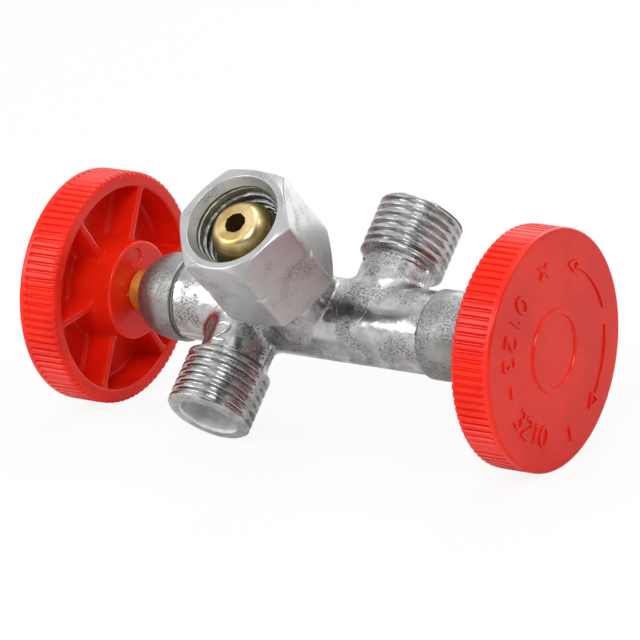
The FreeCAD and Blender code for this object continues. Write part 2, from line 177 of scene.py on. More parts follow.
def eased(corners: Sequence[Corner], steps: int = 4, support: float = 0.08) -> Array:
    """Profile with each corner rounded by a parabola that leaves the legs at the ease distance.

    A support row stands just outside each end of a rounding, so that the legs are shaded flat.
    The first and last corner of an open profile must be sharp.

    Args:
        corners: (axial, radius, ease) in mm, ease 0 for a sharp corner.
        steps: points on each rounded corner.
        support: most distance from a rounding to its support row.

    Returns:
        Array of (axial, radius) rows.
    """
    raw = np.array(corners, float)
    rows = []
    for index, (*_, ease) in enumerate(corners):
        here = raw[index, :2]
        if ease == 0.0:
            rows.append(here[None])
            continue
        ends = []
        for other in (raw[index - 1], raw[(index + 1) % len(raw)]):
            leg = np.linalg.norm(other[:2] - here)
            out = (other[:2] - here) / leg
            room = max(0.0, (leg - ease - other[2]) * 0.3)
            ends.append((here + out * ease, here + out * (ease + min(support, room))))
        (first, outside), (last, beyond) = ends
        rows += [outside[None], parabola(first, here, last, steps), beyond[None]]
    return np.concatenate(rows)


def lathe(profile: Array, angles: Array, radius: Array | None = None) -> Array:
    """Surface of revolution about X: (a, r cos t, r sin t).

    Args:
        profile: (rows, 2) of axial place and radius.
        angles: angles t of the columns.
        radius: optional (rows, columns) radii in place of the profile's.

    Returns:
        (rows, columns, 3) points in mm.
    """
    if radius is None:
        radius = profile[:, 1:]
    return points_of(profile[:, :1], radius * np.cos(angles), radius * np.sin(angles))


def grid_shell(points: Array, loop_rows: bool = False) -> Shell:
    """Shell from a grid whose columns run round, and whose last row may join the first.

    Args:
        points: (rows, columns, 3) points in mm.
        loop_rows: whether the last row joins the first.

    Returns:
        The flat list of points and the quads that join them.
    """
    rows, columns = points.shape[:2]
    index = np.arange(rows * columns).reshape(rows, columns)
    if loop_rows:
        index = np.vstack([index, index[:1]])
    right = np.roll(index, -1, axis=1)
    quads = np.stack([index[:-1], right[:-1], right[1:], index[1:]], axis=-1)
    return points.reshape(-1, 3), quads.reshape(-1, 4)


def bead(path: Array, normal: Array, width: float, height: float, sections: int = 10) -> Shell:
    """Raised stroke along a path, with steep flanks and round ends.

    Args:
        path: (n, 3) middle line in mm.
        normal: (n, 3) or (3,) unit directions that the stroke stands up in.
        width: full width of the stroke.
        height: how far it stands up.
        sections: points round each section.

    Returns:
        A closed shell.
    """
    normal = np.broadcast_to(np.asarray(normal, float), path.shape)
    across = unit(np.cross(normal, unit(np.gradient(path, axis=0))))
    length = run_length(path)
    from_end = np.minimum(length, length[-1] - length) / (width / 2)
    taper = np.sqrt(1 - (1 - np.clip(from_end, 0, 1)) ** 2)
    angles = ring(sections)
    spread = across[:, None] * (width / 2 * np.cos(angles))[None, :, None]
    rise = normal[:, None] * (height * np.cbrt(np.sin(angles)))[None, :, None]
    return grid_shell(path[:, None] + (spread + rise) * taper[:, None, None])


def dense(path: Array, spacing: float = 0.08) -> Array:
    """The same polyline with points at even spacing in mm, and its bends rounded a little."""
    length = run_length(path)
    stations = np.linspace(0, length[-1], max(8, int(length[-1] / spacing)))
    fine = np.stack([np.interp(stations, length, path[:, axis]) for axis in range(3)], axis=1)
    for _ in range(3):
        fine[1:-1] = (fine[:-2] + 2 * fine[1:-1] + fine[2:]) / 4
    return fine


def surface_net(field: Field, low: Corner, high: Corner, step: float) -> Shell:
    """Closed surface where a distance field changes sign, on a grid of cubes.

    Each cube that the surface crosses gets one point, the mean of the crossings on its edges,
    which is then moved along the field's slope onto the surface.  Each grid edge that the surface
    crosses becomes a quad between the four cubes round it.

    Args:
        field: signed distance of arrays x, y, z in mm, negative inside.
        low: lowest corner of the grid.
        high: highest corner of the grid.
        step: edge of a cube.

    Returns:
        The points and the quads.
    """
    lines = [np.arange(a, b + step, step, dtype=np.float32) for a, b in zip(low, high)]
    value = field(*np.meshgrid(*lines, indexing="ij", sparse=True))
    corners = [(i, j, k) for i in (0, 1) for j in (0, 1) for k in (0, 1)]
    shape = np.array(value.shape) - 1
    inside = sum((value[tuple(slice(o, o + n) for o, n in zip(corner, shape))] < 0).astype(np.int8)
                 for corner in corners)
    cells = np.argwhere((inside > 0) & (inside < 8))
    total, count = np.zeros((len(cells), 3)), np.zeros(len(cells))
    for start, axis in ((corner, axis) for corner in corners for axis in range(3) if corner[axis] == 0):
        along = np.eye(3, dtype=int)[axis]
        a, b = value[tuple((cells + start).T)], value[tuple((cells + start + along).T)]
        crossed = (a < 0) != (b < 0)
        share = np.where(crossed, a / np.where(crossed, a - b, 1.0), 0.0)
        total += np.where(crossed[:, None], np.array(start) + share[:, None] * along, 0.0)
        count += crossed
    points = np.array(low) + (cells + total / count[:, None]) * step
    for _ in range(3):
        points = onto_surface(field, points, step)
    number = np.full(shape, -1, np.int64)
    number[tuple(cells.T)] = np.arange(len(cells))
    quads = []
    for axis in range(3):
        base = tuple(slice(1 if n != axis else 0, shape[n]) for n in range(3))
        ahead = tuple(slice(1, shape[n] + (n == axis)) for n in range(3))
        edge = np.argwhere((value[base] < 0) != (value[ahead] < 0)) + (np.arange(3) != axis)
        one, two = np.eye(3, dtype=int)[[(axis + 1) % 3, (axis + 2) % 3]]
        around = (number[tuple((edge - back).T)] for back in (0 * one, one, one + two, two))
        quads.append(points_of(*around))
    return points, np.concatenate(quads)


def onto_surface(field: Field, points: Array, limit: float) -> Array:
    """Move points along the field's slope by their distance, at most by the limit."""
    small = limit * 0.1
    slope = np.stack([field(*(points + shift).T) - field(*(points - shift).T)
                      for shift in np.eye(3) * small], axis=1) / (2 * small)
    move = -field(*points.T) / np.maximum(np.sum(slope ** 2, axis=1), 0.2)
    return points + slope * np.clip(move, -limit, limit)[:, None]


def blended(a: Array, b: Array, fillet: float) -> Array:
    """Smooth union of two distance fields: the smaller one, less a parabola where they are close."""
    near = np.maximum(fillet - np.abs(a - b), 0) / fillet
    return np.minimum(a, b) - near ** 2 * fillet / 4


def placed(name: str, data: bpy.types.ID) -> bpy.types.Object:
    """A new object with this data in the scene."""
    thing = bpy.data.objects.new(name, data)
    bpy.context.scene.collection.objects.link(thing)
    return thing


def bare_tree(owner: bpy.types.Material | bpy.types.World) -> Tree:
    """The owner's node tree, emptied."""
    owner.use_nodes = True
    owner.node_tree.nodes.clear()
    return owner.node_tree


def add_node(tree: Tree, kind: str, links: Links | None = None, values: Constants | None = None,
             **settings: object) -> bpy.types.Node:
    """Add a node, set it up and link its inputs.

    Args:
        tree: the node tree.
        kind: the node's type without its prefix ShaderNode.
        links: input name or number to what feeds it: a socket, or a node for its first output.
        values: input name or number to its constant.
        settings: properties of the node.

    Returns:
        The node.
    """
    node = tree.nodes.new("ShaderNode" + kind)
    for key, setting in settings.items():
        setattr(node, key, setting)
    for key, value in (values or {}).items():
        node.inputs[key].default_value = value
    for key, source in (links or {}).items():
        socket = source.outputs[0] if isinstance(source, bpy.types.Node) else source
        tree.links.new(socket, node.inputs[key])
    return node


def span(low: float, high: float, to_low: float = 0.0, to_high: float = 1.0) -> Constants:
    """Constants of a Map Range node that stretches low to high into to_low to to_high."""
    return {"From Min": low, "From Max": high, "To Min": to_low, "To Max": to_high}


def linear(hex_colour: str) -> tuple[float, float, float, float]:
    """Turn six sRGB hex digits into linear red, green, blue and an alpha of 1."""
    values = [int(hex_colour[i:i + 2], 16) / 255 for i in (0, 2, 4)]
    red, green, blue = (v / 12.92 if v <= 0.04045 else ((v + 0.055) / 1.055) ** 2.4 for v in values)
    return red, green, blue, 1.0


def blobs(size_mm: float, detail: float = 2.0, rough: float = 0.5) -> Constants:
    """Constants of a Noise Texture node whose blobs are about size_mm across."""
    return {"Scale": 1 / (size_mm * MM), "Detail": detail, "Roughness": rough}


@dataclass(frozen=True)
class Surface:
    """What every finish shares: a name, a ground tone with patches of another, a Principled shader."""

    name: str
    ground: str
    patches: str

    def inputs(self, tree: Tree, place: Links) -> Inputs:
        """The patches' share, and the shader's links and constants; a plain finish has no shine."""
        return add_node(tree, "Value"), {}, {"Roughness": 1.0}

    def build(self) -> bpy.types.Material:
        """Make the material."""
        material = bpy.data.materials.new(self.name)
        tree = bare_tree(material)
        place = {"Vector": add_node(tree, "TexCoord").outputs["Object"]}
        share, links, values = self.inputs(tree, place)
        colour = add_node(tree, "Mix", {0: share}, {6: linear(self.ground), 7: linear(self.patches)},
                          data_type="RGBA").outputs[2]
        shader = add_node(tree, "BsdfPrincipled", {"Base Color": colour, **links}, values)
        add_node(tree, "OutputMaterial", {"Surface": shader})
        return material


@dataclass(frozen=True)
class PlatedCasting(Surface):
    """Zinc alloy, pressure cast and thinly nickel plated.

    The mould leaves a smooth skin with a slow waviness, broken by sandy patches whose pits are
    darker, so highlights are clean in one place and speckled in the next.
    """

    name: str = "plated_zinc_casting"
    ground: str = "C4C4C4"
    patches: str = "505050"
    grain_mm: float = 0.3
    wave_mm: float = 2.4
    patch_mm: float = 4.5
    patch_low: float = 0.44
    patch_high: float = 0.60
    least_sandy: float = 0.06
    pit_low: float = 0.28
    pit_high: float = 0.68
    grain_height_mm: float = 0.11
    wave_height_mm: float = 0.10
    roughness_low: float = 0.21
    roughness_high: float = 0.38
    metallic: float = 0.97
    cloud: float = 0.38
    cloud_low: float = 0.35
    cloud_high: float = 0.65

    def inputs(self, tree: Tree, place: Links) -> Inputs:
        """Metal over a slow wave, with pits and their darker tone masked by patches."""
        grain = add_node(tree, "TexNoise", place, blobs(self.grain_mm, 3.0, 0.6))
        wave = add_node(tree, "TexNoise", place, blobs(self.wave_mm))
        patch = add_node(tree, "TexNoise", place, blobs(self.patch_mm))
        sandy = add_node(tree, "MapRange", {"Value": patch},
                         span(self.patch_low, self.patch_high, self.least_sandy), **SOFT)
        slow = add_node(tree, "Bump", {"Height": wave}, {"Distance": self.wave_height_mm * MM})
        pits = add_node(tree, "Bump", {"Height": grain, "Strength": sandy, "Normal": slow},
                        {"Distance": self.grain_height_mm * MM})
        pitted = add_node(tree, "MapRange", {"Value": grain},
                          span(self.pit_low, self.pit_high, 1.0, 0.0), **SOFT)
        speckle = add_node(tree, "Math", {0: pitted, 1: sandy}, operation="MULTIPLY")
        cloud = add_node(tree, "MapRange", {"Value": wave},
                         span(self.cloud_low, self.cloud_high, 0.0, self.cloud), **SOFT)
        share = add_node(tree, "Math", {0: speckle, 1: cloud}, operation="MAXIMUM")
        rough = add_node(tree, "MapRange", {"Value": sandy},
                         span(0.0, 1.0, self.roughness_low, self.roughness_high), **SOFT)
        return share, {"Normal": pits, "Roughness": rough}, {"Metallic": self.metallic}


@dataclass(frozen=True)
class TurnedMetal(Surface):
    """Bar turned on a lathe: faint rings round the axis and an even, fairly sharp shine."""

    roughness: float = 0.32
    metallic: float = 1.0
    lean: float = 0.0
    rings_across: str = "X"
    # Real tool marks are far finer; these are as coarse as they need to be to show.
    ring_mm: float = 1.3823
    ring_height_mm: float = 0.004
    ring_wobble: float = 1.2
    tarnish_mm: float = 3.0
    tarnish_low: float = 0.3
    tarnish_high: float = 0.7

    def inputs(self, tree: Tree, place: Links) -> Inputs:
        """Metal with rings square to its axis, leaning about X, and a little tarnish."""
        laid = add_node(tree, "Mapping", place, {"Rotation": (self.lean, 0.0, 0.0)})
        scale = TURN / (WAVE_RADIANS * self.ring_mm * MM)
        rings = add_node(tree, "TexWave", {"Vector": laid},
                         {"Scale": scale, "Distortion": self.ring_wobble, "Detail": 2.0},
                         bands_direction=self.rings_across)
        relief = add_node(tree, "Bump", {"Height": rings.outputs["Fac"]},
                          {"Distance": self.ring_height_mm * MM})
        spots = add_node(tree, "TexNoise", place, blobs(self.tarnish_mm, 3.0))
        bright = add_node(tree, "MapRange", {"Value": spots},
                          span(self.tarnish_low, self.tarnish_high), **SOFT)
        return bright, {"Normal": relief}, {"Metallic": self.metallic, "Roughness": self.roughness}


@dataclass(frozen=True)
class MouldedPlastic(Surface):
    """Red polypropylene, moulded: a soft even gloss with faint flow marks, warmer where it is thin."""

    name: str = "moulded_red_plastic"
    ground: str = "E01C0A"
    patches: str = "EC260F"
    roughness: float = 0.26
    gloss: float = 0.25
    glow_mm: float = 1.0
    flow_mm: float = 9.0
    flow_low: float = 0.35
    flow_high: float = 0.65
    skin_mm: float = 0.5
    skin_height_mm: float = 0.004

    def inputs(self, tree: Tree, place: Links) -> Inputs:
        """Plastic with a slight skin texture and a slow change of tone."""
        flow = add_node(tree, "TexNoise", place, blobs(self.flow_mm))
        tone = add_node(tree, "MapRange", {"Value": flow}, span(self.flow_low, self.flow_high), **SOFT)
        grain = add_node(tree, "TexNoise", place, blobs(self.skin_mm, 3.0))
        skin = add_node(tree, "Bump", {"Height": grain}, {"Distance": self.skin_height_mm * MM})
        return tone, {"Normal": skin}, {
            "Roughness": self.roughness, "IOR": 1.49, "Specular IOR Level": self.gloss,
            "Subsurface Weight": 0.06, "Subsurface Scale": self.glow_mm * MM,
            "Subsurface Radius": (1.0, 0.25, 0.15)}


@dataclass(frozen=True)
class MattSeal(Surface):
    """Nitrile rubber or pressed fibre, cut or moulded: dark and matt, with a dusty grain."""

    roughness: float = 0.75
    grain_mm: float = 0.3
    grain_height_mm: float = 0.01
    grain_strength: float = 0.6

    def inputs(self, tree: Tree, place: Links) -> Inputs:
        """Matt dark material with a fine grain."""
        grain = add_node(tree, "TexNoise", place, blobs(self.grain_mm))
        relief = add_node(tree, "Bump", {"Height": grain},
                          {"Strength": self.grain_strength, "Distance": self.grain_height_mm * MM})
        return grain, {"Normal": relief}, {"Roughness": self.roughness}


class Finish(Enum):
    """Every finish of the valve; its material is built when a piece first takes it."""

    CASTING = PlatedCasting()
    # The mould's threads come out crisper than the skin, with dark grooves.
    THREAD = PlatedCasting("plated_cast_thread", "C0C0C0", wave_mm=1.6, patch_low=0.46, patch_high=0.66,
                           grain_height_mm=0.05, wave_height_mm=0.06,
                           roughness_low=0.22, roughness_high=0.36)
    # The bore's whitish, dull ground is a painted reflection of the bright floor seen through the mouth, and
    # it is hardly metallic.
    BORE = PlatedCasting("raw_cast_bore", "F4F4F4", "909090", grain_height_mm=0.07, wave_height_mm=0.03,
                         roughness_low=0.34, roughness_high=0.5, metallic=0.3)
    # The headwork is darker and sandier than the body.
    HEADWORK = PlatedCasting("headwork_casting", "A0A2A0", "5C5E5C", patch_mm=6.0, patch_low=0.36,
                             patch_high=0.54, grain_height_mm=0.09, wave_height_mm=0.03,
                             roughness_low=0.34, roughness_high=0.48, cloud=0.3)
    # Tumbled before plating, the nut's flats are an even satin grey with few pits.
    NUT = PlatedCasting("plated_nut", "B4B4B4", "747474", wave_mm=3.5, patch_low=0.46, patch_high=0.70,
                        grain_height_mm=0.05, wave_height_mm=0.015, roughness_low=0.30,
                        roughness_high=0.34, metallic=0.55, cloud=0.06)
    # Freshly turned and never handled, the nipple is pale and mirrors the nut round it.
    NIPPLE = TurnedMetal("turned_brass_nipple", "B2985C", "E4CE9A", rings_across="Y",
                         lean=math.atan2(AXES.sin_lean, AXES.cos_lean))
    # Handled and oxidised, the spindle's brass is yellower and less of a mirror.
    SPINDLE = TurnedMetal("turned_brass_spindle", "C8963A", "F2CC62", roughness=0.3, metallic=0.65)
    PLASTIC = MouldedPlastic()
    # Rubber is nearly black, and the fibre gasket a dusty grey seam at the collar.
    RUBBER = MattSeal("nitrile_rubber", "141416", "26262A")
    FIBRE = MattSeal("pressed_fibre", "686866", "8A8A88")

    @cached_property
    def material(self) -> bpy.types.Material:
        """The finish's material, built once."""
        return self.value.build()


def make_piece(name: str, shells: Sequence[Shell], finish: Finish, body: str,
               stands_for: str | None = None, sharp_degrees: float = 40.0,
               second: tuple[Finish, Array] | None = None) -> None:
    """Make one piece of the scene from shells given in valve millimetres.

    Args:
        name: the piece's name.
        shells: closed shells, each points and quads.
        finish: its finish.
        body: the CAD body that it rides on.
        stands_for: the CAD node that it replaces, if any.
        sharp_degrees: edges that bend more than this stay sharp.
        second: another finish, and for each face whether it has it.
    """
    starts = np.cumsum([0] + [len(points) for points, _ in shells])
    points = np.concatenate([points for points, _ in shells])
    faces = np.concatenate([quads + start for (_, quads), start in zip(shells, starts)])
    mesh = bpy.data.meshes.new(name)
    mesh.from_pydata(AXES.to_row(points).tolist(), [], faces.tolist())
    mesh.materials.append(finish.material)
    if second is not None:
        mesh.materials.append(second[0].material)
        mesh.polygons.foreach_set("material_index", second[1].ravel().astype(np.int32))
    work = bmesh.new()
    work.from_mesh(mesh)
    bmesh.ops.remove_doubles(work, verts=work.verts, dist=WELD_M)
    bmesh.ops.dissolve_degenerate(work, edges=work.edges, dist=SLIVER_M)
    bmesh.ops.recalc_face_normals(work, faces=work.faces)
    work.to_mesh(mesh)
    work.free()
    mesh.shade_smooth()
    mesh.set_sharp_from_angle(angle=math.radians(sharp_degrees))
    piece = placed(name, mesh)
    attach(piece, body)
    if stands_for is not None:
        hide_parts(stands_for)
    LOG.info("%s: %d points, %d faces", name, len(mesh.vertices), len(mesh.polygons))


def curl(centre: Point, radii: Point, start: float, end: float, steps: int = 9) -> list[Point]:
    """Points on an ellipse's arc, angles in degrees from the right, anticlockwise."""
    angles = np.radians(np.linspace(start, end, steps))
    return [(centre[0] + radii[0] * math.cos(a), centre[1] + radii[1] * math.sin(a)) for a in angles]


# Strokes of the plain numerals, in a box 1 high about (0, 0).
NUMERALS = {
    "0": [curl((0, 0), (0.27, 0.5), 90, 445, 20)],
    "1": [[(-0.16, 0.30), (0.04, 0.5), (0.04, -0.5)]],
    "2": [curl((0, 0.24), (0.27, 0.26), 160, -30) + [(-0.27, -0.5), (0.29, -0.5)]],
    "3": [curl((0, 0.25), (0.24, 0.25), 150, -80) + curl((0, -0.24), (0.27, 0.26), 80, -150)],
}


@dataclass
class Casting:
    """The cast body without its threaded ends.

    The distances are those of the right half; the left half takes them at -x and -z.
    """

    barrel_r: float = 6.25
    barrel_half: float = 22.1
    barrel_edge: float = 0.12
    boss_r: float = 6.05
    boss_reach: float = 11.4
    boss_fillet: float = 0.4
    outlet_offset: float = 10.9
    neck_root_r: float = 5.65
    neck_top_r: float = 5.25
    flare_start: float = 9.5
    neck_end: float = 10.6
    neck_fillet: float = 1.3
    neck_slope: float = 0.85
    web_inner: float = 6.4
    web_outer: float = 5.8
    web_half: float = 0.75
    web_top: float = 11.1
    web_fillet: float = 0.8
    flash_half: float = 0.45
    flash_height: float = 0.18
    pad_r: float = 2.7
    pad_height: float = 0.05
    pad_x: float = 10.1
    pad_z: float = -0.4
    burr_width: float = 0.36
    burr_height: float = 0.13
    burr_overlap: float = 0.15
    well_r: float = 4.68
    well_end: float = 10.5
    passage_r: float = 2.35
    passage_end: float = 2.8
    mark_height: float = 2.8
    mark_reach: float = 7.2
    mark_width: float = 0.44
    mark_rise: float = 0.24
    mark_spread: float = 1.35
    margin: float = 0.4
    step: float = 0.2
    sharp_degrees: float = 50.0

    @property
    def neck_taper(self) -> float:
        """How much a neck's radius shrinks per mm of its length."""
        return (self.neck_root_r - self.neck_top_r) / self.flare_start

    def neck(self, x: Array, y: Array, z: Array) -> Array:
        """Distance to a neck: a tapered post that flares to the thread's size at its end."""
        out = np.sqrt((x - self.outlet_offset) ** 2 + y ** 2)
        radius = self.neck_root_r - self.neck_taper * z + np.maximum(z - self.flare_start, 0)
        return np.maximum(np.maximum((out - radius) * self.neck_slope, z - self.neck_end), -z)

    def web(self, x: Array, y: Array, z: Array) -> Array:
        """Distance to the thin rib on the parting plane at both sides of a neck."""
        middle = self.outlet_offset + (self.web_outer - self.web_inner) / 2
        along = np.abs(x - middle) - (self.web_outer + self.web_inner) / 2
        return np.maximum(np.maximum(along, np.abs(y) - self.web_half),
                          np.maximum(z - self.web_top, self.barrel_r - 1.0 - z))

    def well(self, x: Array, y: Array, z: Array) -> Array:
        """Distance to the hollow that the threaded end's own bore lines."""
        out = np.sqrt((x - self.outlet_offset) ** 2 + y ** 2)
        wide = np.maximum(out - self.well_r, self.well_end - z)
        return np.minimum(wide, np.maximum(out - self.passage_r, self.passage_end - z))

    def pad(self, x: Array, y: Array, z: Array) -> Array:
        """Distance to the round pad that the mould's ejector left on the barrel's front."""
        out = np.sqrt((x - self.pad_x) ** 2 + (z - self.pad_z) ** 2)
        rise = np.sqrt(y ** 2 + z ** 2) - self.barrel_r - self.pad_height
        return np.maximum(np.maximum(out - self.pad_r, rise), y)

    def distance(self, x: Array, y: Array, z: Array) -> Array:
        """Distance to the whole casting: its forms blended with cast fillets, less the wells.

        Args:
            x: places along the barrel in mm.
            y: places along the nut's axis, the nut towards -Y.
            z: places along the outlets.

        Returns:
            The signed distance, negative inside.
        """
        halves = ((x, y, z), (-x, y, -z))
        inside = self.barrel_r - np.sqrt(y ** 2 + z ** 2)
        shape = -blended(inside, self.barrel_half - np.abs(x), self.barrel_edge)
        for half in halves:
            shape = blended(shape, self.neck(*half), self.neck_fillet)
        boss = np.maximum(np.sqrt(x ** 2 + z ** 2) - self.boss_r, np.maximum(-y - self.boss_reach, y))
        shape = blended(shape, boss, self.boss_fillet)
        flash = np.maximum(np.maximum(np.abs(y) - self.flash_half, np.abs(x) - self.barrel_half),
                           np.abs(z) - self.barrel_r - self.flash_height)
        shape = blended(shape, flash, self.barrel_edge)
        for half in halves:
            shape = np.minimum(blended(shape, self.web(*half), self.web_fillet), self.pad(*half))
        for half in halves:
            shape = np.maximum(shape, -self.well(*half))
        return shape

    def pad_burr(self) -> Shell:
        """Fine raised ring round the ejector's pad, wrapped onto the barrel."""
        turn = np.linspace(0, TURN + self.burr_overlap, 90)
        z = self.pad_z + self.pad_r * np.sin(turn)
        path = points_of(self.pad_x + self.pad_r * np.cos(turn), -np.sqrt(self.barrel_r ** 2 - z ** 2), z)
        return bead(path, path * [0.0, 1.0, 1.0] / self.barrel_r, self.burr_width, self.burr_height)

    def neck_mark(self, key: str, side: Side) -> list[Shell]:
        """Raised numeral wrapped onto the front of a neck.

        Args:
            key: which numeral.
            side: which neck.

        Returns:
            Closed shells of its strokes.
        """
        shells = []
        for stroke in NUMERALS[key]:
            across, up = np.array(stroke).T * self.mark_height * [[self.mark_spread], [1.0]]
            away = self.mark_reach + side.value * up
            radius = self.neck_root_r - self.neck_taper * away
            turn = across / radius
            neck_x = side.value * self.outlet_offset
            path = dense(points_of(neck_x + radius * np.sin(turn), -radius * np.cos(turn),
                                   side.value * away))
            normal = unit((path - [neck_x, 0, 0]) * [1, 1, 0])
            shells.append(bead(path, normal, self.mark_width, self.mark_rise))
        return shells

    def build(self) -> None:
        """Work out the casting's surface, its ejector marks and the left neck's numeral."""
        x, y, z = self.barrel_half + self.margin, self.boss_reach + self.margin, self.web_top + self.margin
        shells = [surface_net(self.distance, (-x, -y, -z), (x, self.barrel_r + self.margin, z), self.step)]
        shells += [side.turned(self.pad_burr()) for side in Side] + self.neck_mark("2", Side.LEFT)
        make_piece("cast_body", shells, Finish.CASTING, "valve_body", "valve_body",
                   self.sharp_degrees)


@dataclass
class OutletEnd:
    """Threaded end of an outlet with its bore, cone and gas passage."""

    major_r: float = 6.5785
    thread_depth: float = 0.62
    pitch: float = 1.337
    crest_share: float = 0.32
    root_share: float = 0.84
    row_gap: float = 0.065
    run_in: float = 0.35
    run_in_gap: float = 0.15
    run_out: float = 0.8
    run_out_gap: float = 0.75
    parting_spread: float = 0.010
    parting_fill: float = 0.6
    parting_flat: float = 0.12
    start: float = 9.9
    reach: float = 19.4
    chamfer: float = 0.5
    bore_r: float = 4.45
    bore_depth: float = 7.4
    cone_degrees: float = 30.0
    passage_r: float = 2.1
    passage_end: float = 3.0
    wall: float = 0.35
    mouth_rows: int = 14
    offset: float = 10.9
    columns: int = 192
    sharp_degrees: float = 55.0

    def thread_radius(self, axial: Array, angles: Array) -> Array:
        """Radius of the left-hand thread at each row and column.

        A ridge is a flat crest with round shoulders.  Grooves fade out at both ends, and at the
        parting plane the mould's halves leave them shallow.

        Args:
            axial: distance along the outlet for each row.
            angles: angle of each column.

        Returns:
            (rows, columns) radii in mm.
        """
        groove = smooth(helix(axial, angles, self.pitch), self.crest_share, self.root_share)
        run_in = np.clip((self.reach - self.run_in_gap - axial) / self.run_in, 0, 1)
        run_out = np.clip((axial - self.start - self.run_out_gap) / self.run_out, 0, 1)
        depth = self.thread_depth * (run_in * run_out)[:, None]
        parting = np.exp(-((np.abs(np.sin(angles)) - 1) / self.parting_spread) ** 2)[None]
        radius = self.major_r - depth * groove * (1 - self.parting_fill * parting)
        return np.minimum(radius, self.major_r - self.parting_flat * parting)

    def build(self, side: Side) -> None:
        """Work out one threaded end as a closed tube whose section runs out, over and in again."""
        angles = ring(self.columns)
        rows = np.arange(self.start + 0.65, self.reach - self.chamfer, self.row_gap)
        bore_end = self.reach - self.bore_depth
        cone_end = bore_end - (self.bore_r - self.passage_r) * math.tan(math.radians(self.cone_degrees))
        outer_r, pipe_r = self.bore_r + self.wall, self.passage_r + self.wall / 2
        tip = eased([(self.reach - self.chamfer, self.major_r, 0.0),
                     (self.reach, self.major_r - self.chamfer, 0.12),
                     (self.reach, self.bore_r + 0.45, 0.1), (self.reach - 0.4, self.bore_r, 0.08),
                     (bore_end, self.bore_r, 0.1), (cone_end, self.passage_r, 0.1),
                     (self.passage_end, self.passage_r, 0.0), (self.passage_end, pipe_r, 0.0),
                     (cone_end - 0.2, pipe_r, 0.0), (bore_end - 0.2, outer_r, 0.0),
                     (self.start, outer_r, 0.0)])
        rise = np.array([(self.start, self.major_r - 0.95), (self.start + 0.35, self.major_r - 0.35),
                         (self.start + 0.55, self.major_r - 0.06)])
        profile = np.concatenate([rise, points_of(rows, self.major_r), tip])
        radius = np.repeat(profile[:, 1:], self.columns, axis=1)
        first, last = len(rise), len(rise) + len(rows)
        radius[first:last] = self.thread_radius(rows, angles)
        # Rows from a little inside the mouth on take the bore finish, whose whitish ground is a painted
        # reflection of the floor.
        inner = np.zeros(radius.shape, bool)
        inner[last + self.mouth_rows:] = True
        shell = grid_shell(along_outlet(lathe(profile, angles, radius), self.offset), True)
        make_piece("threaded_end_" + side.word, [side.turned(shell)], Finish.THREAD, "valve_body",
                   None, self.sharp_degrees, (Finish.BORE, inner))


